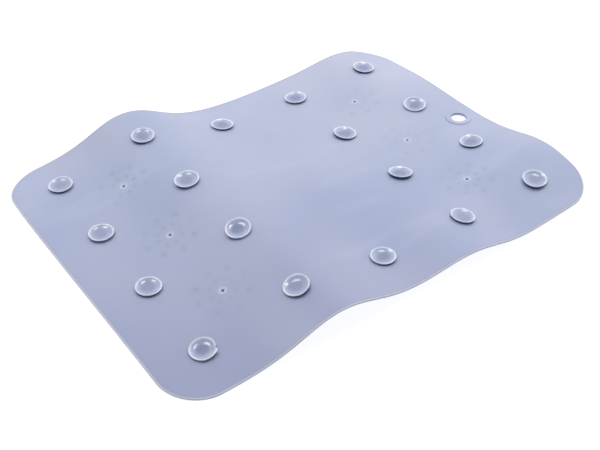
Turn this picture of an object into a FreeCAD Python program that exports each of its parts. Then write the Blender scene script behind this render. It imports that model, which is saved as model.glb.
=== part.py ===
import FreeCAD, Part
import math
import os
import Sketcher

# Foot massage mat: one moulded sheet of soft vinyl, lying in waves with its suction cups up.
# Every feature has its place on the flat sheet, as along and across from the sheet's middle.
# The function lie gives the spot in space where that place of the sheet comes to lie.

VECTOR = FreeCAD.Vector
UP = VECTOR(0, 0, 1)
QUARTER = math.pi / 2

# Driving dimensions, in millimetres unless a note says otherwise
SIZES = [
    ("mat_length", 400, "flat sheet, along X"),
    ("mat_width", 300, "flat sheet, along Y"),
    ("corner_radius", 32, "rounded corners of the flat sheet"),
    ("sheet_thickness", 1.6, "between the smooth faces"),
    ("cup_columns", 5, "count along the length"),
    ("cup_rows", 4, "count across the width"),
    ("cup_inset_along", 40, "outer cup centre to short edge"),
    ("cup_inset_across", 37.5, "outer cup centre to long edge"),
    ("cup_lip_radius", 10, "widest point of the lip"),
    ("cup_height", 2.6, "lip above the sheet"),
    ("cup_foot_radius", 7, "where the cup grows out of the sheet"),
    ("cup_foot_height", 0.3, "straight root of the cup"),
    ("cup_lip_edge", 0.4, "height of the bevelled edge of the lip"),
    ("cup_lip_bevel", 0.5, "how far that edge leans in"),
    ("cup_floor", 0.3, "floor of the bowl above the sheet"),
    ("cup_floor_radius", 4.2, "flat middle of the bowl"),
    ("bowl_power", 1.7, "how the bowl steepens towards the lip, 1 is straight"),
    ("dent_radius", 3, "round kink in the lip of one corner cup"),
    ("dent_depth", 1.3, "how far the kink bites into the lip"),
    ("dent_turn", -11, "where the kink sits round the lip, degrees from X"),
    ("nub_count", 8, "nubs in each ring of a flower"),
    ("inner_ring_radius", 10, "nub centres of the inner ring"),
    ("outer_ring_radius", 20, "nub centres of the outer ring"),
    ("inner_nub_radius", 2, "nub of the inner ring"),
    ("outer_nub_radius", 2.5, "nub of the outer ring"),
    ("nub_height", 1.8, "nub below the sheet"),
    ("nub_sides", 8, "flats round a nub, few because nubs are many and small"),
    ("gate_radius", 2.4, "shallow round recess in the middle of a flower"),
    ("gate_depth", 0.3, "recess below the sheet's upper face"),
    ("nib_radius", 0.5, "broken moulding nib in the recess"),
    ("nib_height", 0.8, "nib above the floor of the recess"),
    ("hole_radius", 7, "hanging hole"),
    ("hole_inset", 20, "hanging hole centre to short edge"),
    ("collar_radius", 11.5, "raised ring round the hanging hole"),
    ("collar_height", 0.8, "ring above the sheet"),
    ("collar_bevel", 0.4, "bevelled outer edge of the ring"),
    ("cut_clearance", 1, "how far a cutting tool starts outside the skin"),
    ("mean_level", -5, "level of the sheet where no swell lifts it"),
    ("ridge_rise", 17, "long ridge across the mat"),
    ("ridge_place", -74, "ridge line at the middle of the width"),
    ("ridge_skew", 0.04, "drift of the ridge line for each unit across"),
    ("ridge_reach", 45, "reach of the ridge to each side"),
]

# Local swells of the sheet: rise, centre along and across, reach along and across
SWELLS = [
    ("shoulder", 7, -10, 0, 65, 70),
    ("far_crest", 7, -80, 165, 55, 45),
    ("side_lift", 14, 205, -90, 65, 45),
    ("far_swell", 10, 170, 140, 45, 75),
    ("near_swell", 8, 55, -130, 45, 85),
    ("near_hollow", -4, 105, -160, 35, 40),
    ("far_hollow", -4, 30, 160, 70, 45),
    ("near_corner_droop", -5, -180, -170, 75, 45),
    ("far_corner_droop", -4, -205, 165, 45, 40),
    ("hole_corner_droop", -9, 190, 135, 35, 50),
]
SWELL_PARTS = ("rise", "along", "across", "reach_along", "reach_across")

# Settings of the construction, which change no size of the mat
GRID_STEP = 16.0
OUTLINE_STEP = 12.0
CORNER_STEPS = 6
WALK_STEPS = 12
BOWL_BANDS = 2
SPARE_RIM = 12.0
SPARE_HEIGHT = 60.0


def add_sizes(doc):
    """Write every driving dimension to the spreadsheet and read it back."""
    rows = list(SIZES)
    for name, *values in SWELLS:
        for part, value in zip(SWELL_PARTS, values):
            rows.append((name + "_" + part, value, "swell of the sheet"))
    sheet = doc.addObject("Spreadsheet::Sheet", "Sizes")
    for row, (alias, value, note) in enumerate(rows, start=1):
        sheet.set("A%d" % row, alias)
        sheet.set("B%d" % row, str(value))
        sheet.setAlias("B%d" % row, alias)
        sheet.set("C%d" % row, note)
    doc.recompute()
    return {alias: float(sheet.get(alias)) for alias, value, note in rows}


def surface(size, along, across):
    """Height of the sheet's upper face, and its slopes along and across."""
    reach = size["ridge_reach"]
    off = along - size["ridge_place"] + size["ridge_skew"] * across
    rise = size["ridge_rise"] * math.exp(-(off / reach) ** 2)
    height = size["mean_level"] + rise
    slope_along = -2 * off / reach ** 2 * rise
    slope_across = slope_along * size["ridge_skew"]
    for name, *values in SWELLS:
        top, middle_along, middle_across, reach_along, reach_across = [
            size[name + "_" + part] for part in SWELL_PARTS
        ]
        off_along = (along - middle_along) / reach_along
        off_across = (across - middle_across) / reach_across
        rise = top * math.exp(-off_along ** 2 - off_across ** 2)
        height += rise
        slope_along -= 2 * off_along / reach_along * rise
        slope_across -= 2 * off_across / reach_across * rise
    return height, slope_along, slope_across


def lie(size, along, across):
    """Spot and upward normal of one place of the sheet as it lies.

    The sheet bends but doesn't stretch, so each place is drawn in towards the middle
    by what the slopes on the way there take up.
    """
    spot_x = along
    spot_y = across
    for step in range(WALK_STEPS):
        share = (step + 0.5) / WALK_STEPS
        slope = surface(size, along * share, across)[1]
        spot_x -= slope ** 2 / 2 * along / WALK_STEPS
        slope = surface(size, along, across * share)[2]
        spot_y -= slope ** 2 / 2 * across / WALK_STEPS
    height, slope_along, slope_across = surface(size, along, across)
    normal = VECTOR(-slope_along, -slope_across, 1).normalize()
    return VECTOR(spot_x, spot_y, height), normal


def seat(size, along, across):
    """Placement on the sheet's upper face, with Z along the upward normal."""
    spot, normal = lie(size, along, across)
    return FreeCAD.Placement(spot, FreeCAD.Rotation(UP, normal))


def nub_seat(size, along, across):
    """Placement halfway through the sheet, with Z pointing down out of its lower face."""
    spot, normal = lie(size, along, across)
    return FreeCAD.Placement(spot - normal * size["sheet_thickness"] / 2, FreeCAD.Rotation(UP, -normal))


def spread(low, high, step):
    """Evenly spaced values from low to high, about one step apart."""
    count = max(2, math.ceil((high - low) / step))
    return [low + (high - low) * index / count for index in range(count + 1)]


def border(patch):
    """The four border curves of a smooth patch."""
    first_u, last_u, first_v, last_v = patch.bounds()
    return [patch.uIso(first_u), patch.uIso(last_u), patch.vIso(first_v), patch.vIso(last_v)]


def slab(size):
    """The wavy sheet before trimming, a little larger than the mat all round."""
    half_along = size["mat_length"] / 2 + SPARE_RIM
    half_across = size["mat_width"] / 2 + SPARE_RIM
    upper = []
    lower = []
    for along in spread(-half_along, half_along, GRID_STEP):
        spots = [lie(size, along, across) for across in spread(-half_across, half_across, GRID_STEP)]
        upper.append([spot for spot, normal in spots])
        lower.append([spot - normal * size["sheet_thickness"] for spot, normal in spots])
    top = Part.BSplineSurface()
    top.interpolate(upper)
    bottom = Part.BSplineSurface()
    bottom.interpolate(lower)
    faces = [top.toShape(), bottom.toShape()]
    for high, low in zip(border(top), border(bottom)):
        faces.append(Part.makeRuledSurface(high.toShape(), low.toShape()))
    shell = Part.Shell(faces)
    shell.sewShape()
    solid = Part.Solid(shell)
    if solid.Volume < 0:
        solid.reverse()
    return solid


def outline(size):
    """Rounded rectangle of the flat sheet: four straight edges, each with the corner after it."""
    radius = size["corner_radius"]
    half_along = size["mat_length"] / 2
    half_across = size["mat_width"] / 2
    stretches = []
    for turn, (reach, side) in enumerate([(half_along, half_across), (half_across, half_along)] * 2):
        straight = [(reach, place) for place in spread(radius - side, side - radius, OUTLINE_STEP)]
        corner = []
        for bend in spread(0, QUARTER, QUARTER / CORNER_STEPS):
            corner.append((reach - radius + radius * math.cos(bend), side - radius + radius * math.sin(bend)))
        for stretch in (straight, corner):
            for quarter_turn in range(turn):
                stretch = [(-across, along) for along, across in stretch]
            stretches.append(stretch)
    return stretches


def trimmer(size):
    """Upright prism over the outline as it lies, which trims the slab."""
    edges = []
    for stretch in outline(size):
        spots = [lie(size, along, across)[0] for along, across in stretch]
        curve = Part.BSplineCurve()
        curve.interpolate([VECTOR(spot.x, spot.y, -SPARE_HEIGHT) for spot in spots])
        edges.append(curve.toShape())
    face = Part.Face(Part.Wire(edges))
    return face.extrude(UP * (2 * SPARE_HEIGHT))


def make_sheet(doc, size):
    """The plain wavy sheet with its rounded corners."""
    sheet = doc.addObject("Part::Feature", "WavySheet")
    sheet.Shape = slab(size).common(trimmer(size)).Solids[0]
    return sheet


def start_profile(doc, name):
    """New body with an upright sketch on its own XZ plane."""
    body = doc.addObject("PartDesign::Body", name)
    upright = [item for item in body.Origin.OriginFeatures if item.Role == "XZ_Plane"][0]
    sketch = body.newObject("Sketcher::SketchObject", name + "Profile")
    sketch.AttachmentSupport = [(upright, "")]
    sketch.MapMode = "FlatFace"
    return body, sketch


def bind(sketch, kind, where, value, expression):
    """Add one size to a sketch and bind it to the spreadsheet."""
    index = sketch.addConstraint(Sketcher.Constraint(kind, *where, value))
    sketch.setExpression("Constraints[%d]" % index, expression)


def line(sketch, from_r, from_z, to_r, to_z):
    """Straight piece of a profile, joined to the piece before it."""
    index = sketch.addGeometry(Part.LineSegment(VECTOR(from_r, from_z, 0), VECTOR(to_r, to_z, 0)))
    if index:
        sketch.addConstraint(Sketcher.Constraint("Coincident", index - 1, 2, index, 1))
    return index


def start_post(doc, name, size, radius_alias, top, side):
    """Body and sketch with the root of a round post: its axis, its base and its side."""
    root = size["sheet_thickness"] / 2
    radius = size[radius_alias]
    body, sketch = start_profile(doc, name)
    line(sketch, 0, top, 0, -root)
    line(sketch, 0, -root, radius, -root)
    line(sketch, radius, -root, radius, side)
    sketch.addConstraint(Sketcher.Constraint("PointOnObject", 0, 1, -2))
    sketch.addConstraint(Sketcher.Constraint("PointOnObject", 0, 2, -2))
    sketch.addConstraint(Sketcher.Constraint("Horizontal", 1))
    sketch.addConstraint(Sketcher.Constraint("Vertical", 2))
    bind(sketch, "DistanceX", (-1, 1, 1, 2), radius, "Sizes." + radius_alias)
    bind(sketch, "DistanceY", (1, 2, -1, 1), root, "Sizes.sheet_thickness / 2")
    return body, sketch


def spin(body, sketch):
    """Turn the profile a full round about its upright axis."""
    turned = body.newObject("PartDesign::Revolution", body.Name + "Turned")
    turned.Profile = sketch
    turned.ReferenceAxis = (sketch, ["V_Axis"])
    turned.Angle = 360
    return body


def named(size, alias):
    """One size as a number with its expression."""
    return size[alias], "Sizes." + alias


def less(size, alias, taken):
    """One size less another, as a number with its expression."""
    return size[alias] - size[taken], "Sizes.%s - Sizes.%s" % (alias, taken)


def between(low, high, share, share_expression):
    """A size between two others, as a number with its expression."""
    number = low[0] + (high[0] - low[0]) * share
    return number, "(%s) + ((%s) - (%s)) * %s" % (low[1], high[1], low[1], share_expression)


def hollow(size, inner, outer, power, bands):
    """Ends of the short straight bands of a hollow stretch, from its inner to its outer end.

    Each end is a radius and a height, and each of these a number with its expression.
    """
    ends = []
    for band in range(bands + 1):
        share = band / bands
        radius = between(inner[0], outer[0], share, "%.6f" % share)
        steepness = "%.6f ^ Sizes.%s" % (share, power)
        height = between(inner[1], outer[1], share ** size[power], steepness)
        ends.append((radius, height))
    return ends


def trace(sketch, section):
    """Lead a profile from its side through the ends of a section and level back to the axis."""
    bind(sketch, "DistanceY", (-1, 1, 2, 2), *section[0][1])
    for (from_r, from_z), (to_r, to_z) in zip(section, section[1:]):
        index = line(sketch, from_r[0], from_z[0], to_r[0], to_z[0])
        bind(sketch, "DistanceX", (-1, 1, index, 2), *to_r)
        bind(sketch, "DistanceY", (-1, 1, index, 2), *to_z)
    last_r, last_z = section[-1]
    index = line(sketch, last_r[0], last_z[0], 0, last_z[0])
    sketch.addConstraint(Sketcher.Constraint("Horizontal", index))
    sketch.addConstraint(Sketcher.Constraint("Coincident", index, 2, 0, 1))


def make_cup(doc, size):
    """Suction cup: a low foot that flares out to a thin bevelled lip round a shallow bowl."""
    foot = (named(size, "cup_foot_radius"), named(size, "cup_foot_height"))
    lip = (named(size, "cup_lip_radius"), less(size, "cup_height", "cup_lip_edge"))
    rim = (less(size, "cup_lip_radius", "cup_lip_bevel"), named(size, "cup_height"))
    floor = (named(size, "cup_floor_radius"), named(size, "cup_floor"))
    bowl = hollow(size, floor, rim, "bowl_power", BOWL_BANDS)
    body, sketch = start_post(doc, "SuctionCup", size, "cup_foot_radius", floor[1][0], foot[1][0])
    trace(sketch, [foot, lip] + bowl[::-1])
    return spin(body, sketch)


def make_nub(doc, name, radius):
    """Massage nub: a short peg, rooted in the sheet."""
    nub = doc.addObject("Part::Prism", name)
    nub.setExpression("Polygon", "Sizes.nub_sides")
    nub.setExpression("Circumradius", radius)
    nub.setExpression("Height", "Sizes.nub_height + Sizes.sheet_thickness / 2")
    return nub


def make_collar(doc, size):
    """Raised disc with a bevelled edge, which the hanging hole turns into a ring."""
    side = (named(size, "collar_radius"), less(size, "collar_height", "collar_bevel"))
    top = (less(size, "collar_radius", "collar_bevel"), named(size, "collar_height"))
    body, sketch = start_post(doc, "HoleCollar", size, "collar_radius", top[1][0], side[1][0])
    trace(sketch, [side, top])
    return spin(body, sketch)


def make_post(doc, name, radius, height):
    """Plain cylinder with its sizes bound to the spreadsheet."""
    post = doc.addObject("Part::Cylinder", name)
    post.setExpression("Radius", radius)
    post.setExpression("Height", height)
    return post


def copies(doc, name, master, seats):
    """One feature that holds a copy of the master in each seat."""
    feature = doc.addObject("Part::Feature", name)
    shapes = []
    for place in seats:
        shape = master.Shape.copy()
        shape.Placement = place
        shapes.append(shape)
    feature.Shape = Part.makeCompound(shapes)
    return feature


def lowered(place, depth):
    """The same seat, moved along its own Z to start below it by the depth."""
    return place.multiply(FreeCAD.Placement(VECTOR(0, 0, -depth), FreeCAD.Rotation()))


def cup_places(size):
    """Places of the cups: a grid without the inner cups of its middle column."""
    columns = int(size["cup_columns"])
    rows = int(size["cup_rows"])
    first_along = size["mat_length"] / 2 - size["cup_inset_along"]
    first_across = size["mat_width"] / 2 - size["cup_inset_across"]
    places = []
    for column in range(columns):
        for row in range(rows):
            inner = 0 < row < rows - 1
            if inner and 2 * column == columns - 1:
                continue
            along = -first_along + 2 * first_along * column / (columns - 1)
            across = -first_across + 2 * first_across * row / (rows - 1)
            places.append((along, across))
    return places


def flower_places(size):
    """Middles of the nub flowers: between the cups of the first and of the last two columns."""
    gap_along = 2 * (size["mat_length"] / 2 - size["cup_inset_along"]) / (size["cup_columns"] - 1)
    gap_across = 2 * (size["mat_width"] / 2 - size["cup_inset_across"]) / (size["cup_rows"] - 1)
    rows = int(size["cup_rows"]) - 1
    along = size["mat_length"] / 2 - size["cup_inset_along"] - gap_along / 2
    return [(side * along, (row - (rows - 1) / 2) * gap_across) for side in (-1, 1) for row in range(rows)]


def ring_places(size, radius_alias):
    """Places of one ring of nubs round every flower's middle."""
    radius = size[radius_alias]
    places = []
    for along, across in flower_places(size):
        for nub in range(int(size["nub_count"])):
            turn = 4 * QUARTER * nub / size["nub_count"]
            places.append((along + radius * math.cos(turn), across + radius * math.sin(turn)))
    return places


def dent_seat(size):
    """Seat of the tool that kinks the lip of the near left corner cup."""
    turn = math.radians(size["dent_turn"])
    reach = size["cup_lip_radius"] + size["dent_radius"] - size["dent_depth"]
    off = VECTOR(reach * math.cos(turn), reach * math.sin(turn), size["cup_foot_height"])
    return seat(size, *cup_places(size)[0]).multiply(FreeCAD.Placement(off, FreeCAD.Rotation()))


def make_raised(doc, size):
    """Everything that stands out of the sheet's two faces."""
    cup = make_cup(doc, size)
    inner_nub = make_nub(doc, "InnerNub", "Sizes.inner_nub_radius")
    outer_nub = make_nub(doc, "OuterNub", "Sizes.outer_nub_radius")
    collar = make_collar(doc, size)
    doc.recompute()
    inner_seats = [nub_seat(size, *place) for place in ring_places(size, "inner_ring_radius")]
    outer_seats = [nub_seat(size, *place) for place in ring_places(size, "outer_ring_radius")]
    return [
        copies(doc, "SuctionCups", cup, [seat(size, *place) for place in cup_places(size)]),
        copies(doc, "InnerNubs", inner_nub, inner_seats),
        copies(doc, "OuterNubs", outer_nub, outer_seats),
        copies(doc, "HoleCollarInPlace", collar, [hole_seat(size)]),
    ]


def hole_seat(size):
    """Seat of the hanging hole, by the middle of the far short edge."""
    return seat(size, size["mat_length"] / 2 - size["hole_inset"], 0)


def make_cuts(doc, size):
    """The tools that cut the hanging hole, the gate recesses and the kink in one lip."""
    hole_height = "Sizes.collar_height + Sizes.sheet_thickness + 2 * Sizes.cut_clearance"
    hole = make_post(doc, "HoleTool", "Sizes.hole_radius", hole_height)
    recess = make_post(doc, "GateTool", "Sizes.gate_radius", "Sizes.gate_depth + Sizes.cut_clearance")
    dent = make_post(doc, "DentTool", "Sizes.dent_radius", "Sizes.cup_height")
    doc.recompute()
    below = size["sheet_thickness"] + size["cut_clearance"]
    gates = [lowered(seat(size, *place), size["gate_depth"]) for place in flower_places(size)]
    return [
        copies(doc, "HangingHole", hole, [lowered(hole_seat(size), below)]),
        copies(doc, "GateRecesses", recess, gates),
        copies(doc, "LipKink", dent, [dent_seat(size)]),
    ]


def make_nibs(doc, size):
    """The moulding nibs, one in the middle of each recess."""
    nib = make_post(doc, "GateNib", "Sizes.nib_radius", "Sizes.nib_height + Sizes.sheet_thickness / 2")
    doc.recompute()
    root = size["gate_depth"] + size["sheet_thickness"] / 2
    return copies(doc, "GateNibs", nib, [lowered(seat(size, *place), root) for place in flower_places(size)])


def make_mat(doc, size):
    """The whole mat as one solid, standing on its lowest point over the origin."""
    raised = doc.addObject("Part::MultiFuse", "RaisedSheet")
    raised.Shapes = [make_sheet(doc, size)] + make_raised(doc, size)
    tools = doc.addObject("Part::Compound", "CuttingTools")
    tools.Links = make_cuts(doc, size)
    pierced = doc.addObject("Part::Cut", "PiercedSheet")
    pierced.Base = raised
    pierced.Tool = tools
    mat = doc.addObject("Part::MultiFuse", "Mat")
    mat.Shapes = [pierced, make_nibs(doc, size)]
    mat.Label = "massage_mat"
    doc.recompute()
    box = mat.Shape.optimalBoundingBox(False, False)
    mat.Placement.Base = VECTOR(-box.Center.x, -box.Center.y, -box.ZMin)
    doc.recompute()
    return mat


def check(doc, parts):
    """Stop if any object failed or any finished part isn't one valid solid."""
    for item in doc.Objects:
        if "Invalid" in item.State or "Error" in item.State:
            raise RuntimeError("object failed: " + item.Name)
    for item in parts:
        shape = item.Shape
        if shape.isNull() or not shape.isValid() or len(shape.Solids) != 1:
            raise RuntimeError("part is not one valid solid: " + item.Label)


def main():
    """Build the document, check it and write each part."""
    doc = FreeCAD.newDocument("MassageMat")
    size = add_sizes(doc)
    parts = [make_mat(doc, size)]
    check(doc, parts)
    os.makedirs("parts", exist_ok=True)
    for item in parts:
        item.Shape.exportStep("parts/" + item.Label + ".step")


main()
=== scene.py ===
"""A foot massage mat of soft translucent vinyl, lying in gentle waves with its suction cups up."""

import logging
import math
from dataclasses import dataclass, field
from enum import Enum
from typing import Any, Union

import bpy
import bmesh
import numpy as np
from mathutils import Matrix, Vector


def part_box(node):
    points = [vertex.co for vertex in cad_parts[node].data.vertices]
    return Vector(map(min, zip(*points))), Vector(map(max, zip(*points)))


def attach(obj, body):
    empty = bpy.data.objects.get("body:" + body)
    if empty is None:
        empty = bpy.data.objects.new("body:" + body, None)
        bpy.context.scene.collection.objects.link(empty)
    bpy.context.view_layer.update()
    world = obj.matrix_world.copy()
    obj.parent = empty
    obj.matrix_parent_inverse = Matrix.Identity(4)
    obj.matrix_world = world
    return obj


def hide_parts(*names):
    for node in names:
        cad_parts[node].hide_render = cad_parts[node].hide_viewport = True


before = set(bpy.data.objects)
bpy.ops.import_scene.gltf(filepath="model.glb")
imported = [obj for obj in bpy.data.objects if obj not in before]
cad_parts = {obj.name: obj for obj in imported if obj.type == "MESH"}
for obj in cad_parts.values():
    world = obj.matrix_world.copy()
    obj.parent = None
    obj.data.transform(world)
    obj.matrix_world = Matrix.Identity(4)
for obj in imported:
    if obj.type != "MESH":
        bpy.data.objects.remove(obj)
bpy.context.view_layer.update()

LOG = logging.getLogger("massage_mat")
MAT_NODE = "massage_mat"
BODY = "root"
TURN = 2 * math.pi
LOWEST_CORNER = 3 / 8
NOISE_MIDDLE = (0.5, 0.5, 0.5)
TINY = 1e-6

Number = Union[int, float]
Triple = tuple[float, float, float]
Colour = Triple
Spot = tuple[float, float]
Fade = tuple[float, float]
Profile = list[Spot]
Window = tuple[int, int, int, int]
Crossing = tuple[int, int]

SCREEN_TOP = 255
SCREEN_TOE = 0.04045
SCREEN_TOE_SLOPE = 12.92
SCREEN_OFFSET = 0.055
SCREEN_POWER = 2.4


def linear(share: float) -> float:
    """One channel of a screen colour, from 0 to 1, as a linear value."""
    bent = ((share + SCREEN_OFFSET) / (1 + SCREEN_OFFSET)) ** SCREEN_POWER
    return share / SCREEN_TOE_SLOPE if share <= SCREEN_TOE else bent


def tint(red: int, green: int, blue: int) -> Colour:
    """A colour as seen on a screen, from 0 to 255, as the linear values that shaders use."""
    return tuple(linear(channel / SCREEN_TOP) for channel in (red, green, blue))


class Face(Enum):
    """The two broad faces of the sheet."""

    UPPER = 1
    LOWER = -1


@dataclass(frozen=True)
class Swell:
    """One round swell of the sheet: its rise, its middle and its reach, in metres."""

    rise: float
    along: float
    across: float
    reach_along: float
    reach_across: float


@dataclass(frozen=True)
class Waves:
    """The waves in which the mat lies: one long ridge across it and a few round swells."""

    mean_level: float = -0.005
    ridge_rise: float = 0.017
    ridge_place: float = -0.074
    ridge_skew: float = 0.04
    ridge_reach: float = 0.045
    walk_steps: int = 12
    swells: tuple[Swell, ...] = (
        Swell(0.007, -0.010, 0.000, 0.065, 0.070),
        Swell(0.007, -0.080, 0.165, 0.055, 0.045),
        Swell(0.014, 0.205, -0.090, 0.065, 0.045),
        Swell(0.010, 0.170, 0.140, 0.045, 0.075),
        Swell(0.008, 0.055, -0.130, 0.045, 0.085),
        Swell(-0.004, 0.105, -0.160, 0.035, 0.040),
        Swell(-0.004, 0.030, 0.160, 0.070, 0.045),
        Swell(-0.005, -0.180, -0.170, 0.075, 0.045),
        Swell(-0.004, -0.205, 0.165, 0.045, 0.040),
        Swell(-0.009, 0.190, 0.135, 0.035, 0.050),
    )

    def surface(
        self, along: np.ndarray, across: np.ndarray
    ) -> tuple[np.ndarray, np.ndarray, np.ndarray]:
        """Height of the sheet's upper face, with its slopes.

        Args:
            along: Places along the flat sheet.
            across: Places across the flat sheet.

        Returns:
            The height, the slope along and the slope across at each place.
        """
        off = along - self.ridge_place + self.ridge_skew * across
        rise = self.ridge_rise * np.exp(-((off / self.ridge_reach) ** 2))
        height = self.mean_level + rise
        slope_along = -2 * off / self.ridge_reach**2 * rise
        slope_across = slope_along * self.ridge_skew
        for swell in self.swells:
            off_along = (along - swell.along) / swell.reach_along
            off_across = (across - swell.across) / swell.reach_across
            rise = swell.rise * np.exp(-(off_along**2) - off_across**2)
            height = height + rise
            slope_along = slope_along - 2 * off_along / swell.reach_along * rise
            slope_across = slope_across - 2 * off_across / swell.reach_across * rise
        return height, slope_along, slope_across

    def lie(self, along: np.ndarray, across: np.ndarray) -> tuple[np.ndarray, np.ndarray]:
        """Where places of the sheet come to lie, as it bends but doesn't stretch.

        Args:
            along: Places along the flat sheet.
            across: Places across the flat sheet.

        Returns:
            The spots on the upper face and the unit normals there, one row each.
        """
        spot_x = along.astype(float)
        spot_y = across.astype(float)
        for step in range(self.walk_steps):
            share = (step + 0.5) / self.walk_steps
            slope = self.surface(along * share, across)[1]
            spot_x = spot_x - slope**2 / 2 * along / self.walk_steps
            slope = self.surface(along, across * share)[2]
            spot_y = spot_y - slope**2 / 2 * across / self.walk_steps
        height, slope_along, slope_across = self.surface(along, across)
        normals = np.stack([-slope_along, -slope_across, np.ones_like(height)], axis=1)
        normals /= np.linalg.norm(normals, axis=1)[:, None]
        return np.stack([spot_x, spot_y, height], axis=1), normals

    def bend(self, flat: np.ndarray) -> np.ndarray:
        """Spots of flat places given as along, across and height over the upper face."""
        spots, normals = self.lie(flat[:, 0], flat[:, 1])
        return spots + normals * flat[:, 2:3]


@dataclass(frozen=True)
class FlatPlan:
    """Sizes and places on the flat sheet, in metres."""

    length: float = 0.400
    width: float = 0.300
    corner_radius: float = 0.032
    thickness: float = 0.0016
    cup_columns: int = 5
    cup_rows: int = 4
    cup_inset_along: float = 0.040
    cup_inset_across: float = 0.0375
    nub_count: int = 8
    inner_ring_radius: float = 0.010
    outer_ring_radius: float = 0.020
    inner_nub_radius: float = 0.0020
    outer_nub_radius: float = 0.0025
    hole_inset: float = 0.020

    @property
    def first_along(self) -> float:
        """Distance of the outer cup columns from the middle."""
        return self.length / 2 - self.cup_inset_along

    @property
    def first_across(self) -> float:
        """Distance of the outer cup rows from the middle."""
        return self.width / 2 - self.cup_inset_across

    @property
    def pitch_along(self) -> float:
        """Cup spacing along the sheet."""
        return 2 * self.first_along / (self.cup_columns - 1)

    @property
    def pitch_across(self) -> float:
        """Cup spacing across the sheet."""
        return 2 * self.first_across / (self.cup_rows - 1)

    @property
    def flower_along(self) -> float:
        """Distance of the nub flowers from the middle, along the sheet."""
        return self.first_along - self.pitch_along / 2

    def cup_places(self) -> list[Spot]:
        """Places of the cups: a grid without the inner cups of its middle column.

        Returns:
            Along and across of every cup, column by column.
        """
        places = []
        for column in range(self.cup_columns):
            for row in range(self.cup_rows):
                inner = 0 < row < self.cup_rows - 1
                if inner and 2 * column == self.cup_columns - 1:
                    continue
                along = -self.first_along + column * self.pitch_along
                places.append((along, -self.first_across + row * self.pitch_across))
        return places

    @property
    def flower_rows(self) -> int:
        """How many flowers lie in one column, one between each two cups."""
        return self.cup_rows - 1

    def flower_places(self) -> list[Spot]:
        """Middles of the nub flowers, between the cups of the outer column pairs.

        Returns:
            Along and across of every flower.
        """
        places = []
        for side in (-1, 1):
            for row in range(self.flower_rows):
                across = (row - (self.flower_rows - 1) / 2) * self.pitch_across
                places.append((side * self.flower_along, across))
        return places

    def nub_places(self) -> list[Triple]:
        """Places and sizes of the nubs.

        Returns:
            Along, across and radius of every nub, flower by flower.
        """
        rings = (
            (self.inner_ring_radius, self.inner_nub_radius),
            (self.outer_ring_radius, self.outer_nub_radius),
        )
        places = []
        for along, across in self.flower_places():
            for ring_radius, nub_radius in rings:
                for nub in range(self.nub_count):
                    turn = TURN * nub / self.nub_count
                    nub_along = along + ring_radius * math.cos(turn)
                    nub_across = across + ring_radius * math.sin(turn)
                    places.append((nub_along, nub_across, nub_radius))
        return places

    def hole_place(self) -> Spot:
        """Middle of the hanging hole."""
        return self.length / 2 - self.hole_inset, 0.0


def arc(middle: Spot, radius: float, start: float, end: float, steps: int = 3) -> Profile:
    """Points of a circular arc in a profile.

    Args:
        middle: The arc's middle, as distance from the axis and height.
        radius: The arc's radius.
        start: Where it starts, in degrees from the outward direction.
        end: Where it ends, in degrees.
        steps: How many stretches it has.

    Returns:
        The points with both ends.
    """
    points = []
    for step in range(steps + 1):
        turn = math.radians(start + (end - start) * step / steps)
        points.append((middle[0] + radius * math.cos(turn), middle[1] + radius * math.sin(turn)))
    return points


def sweep_curve(points: Profile, steps: int) -> Profile:
    """A cubic curve in a profile.

    Args:
        points: Its four control points: both ends and the two that it leans towards.
        steps: How many stretches it has.

    Returns:
        The points with both ends.
    """
    curve = []
    for step in range(steps + 1):
        share = step / steps
        rest = 1 - share
        weights = (rest**3, 3 * rest**2 * share, 3 * rest * share**2, share**3)
        reach = sum(weight * point[0] for weight, point in zip(weights, points))
        height = sum(weight * point[1] for weight, point in zip(weights, points))
        curve.append((reach, height))
    return curve


@dataclass
class FlatMesh:
    """A closed mesh that is laid out on the flat sheet and then bent with it."""

    places: list[Triple] = field(default_factory=list)
    faces: list[tuple[int, ...]] = field(default_factory=list)

    def add(self, places: list[Triple]) -> list[int]:
        """Adds places to the mesh.

        Args:
            places: Along, across and height of each.

        Returns:
            Their numbers.
        """
        first = len(self.places)
        self.places.extend(places)
        return list(range(first, len(self.places)))

    def bridge(self, first: list[int], second: list[int]) -> None:
        """Joins two closed loops with a band of faces.

        Args:
            first: The numbers of one loop's places.
            second: The numbers of the other's, as many.
        """
        count = len(first)
        for spot in range(count):
            after = (spot + 1) % count
            self.faces.append((first[spot], first[after], second[after], second[spot]))

    def close(self, loop: list[int], place: Triple) -> None:
        """Closes a loop with a fan of triangles.

        Args:
            loop: The numbers of the loop's places.
            place: The place in the fan's middle.
        """
        tip = self.add([place])[0]
        for spot, number in enumerate(loop):
            self.faces.append((number, loop[(spot + 1) % len(loop)], tip))

    def bent(self, name: str, waves: Waves) -> bpy.types.Object:
        """Bends the mesh with the sheet.

        Args:
            name: Name of the object.
            waves: The waves in which the sheet lies.

        Returns:
            The object, with its flat places kept as the attribute flat.
        """
        flat = np.array(self.places)
        mesh = bpy.data.meshes.new(name)
        mesh.from_pydata(waves.bend(flat).tolist(), [], self.faces)
        kept = mesh.attributes.new("flat", "FLOAT_VECTOR", "POINT")
        kept.data.foreach_set("vector", flat.astype(np.float32).ravel())
        return finished(name, mesh)


def finished(name: str, mesh: bpy.types.Mesh) -> bpy.types.Object:
    """Makes a smooth object of a closed mesh.

    Args:
        name: Name of the object.
        mesh: The mesh, whose faces are turned outwards.

    Returns:
        The object, linked to the scene.
    """
    work = bmesh.new()
    work.from_mesh(mesh)
    bmesh.ops.recalc_face_normals(work, faces=work.faces)
    work.to_mesh(mesh)
    work.free()
    mesh.shade_smooth()
    mesh.update()
    made = bpy.data.objects.new(name, mesh)
    bpy.context.scene.collection.objects.link(made)
    return made


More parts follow.
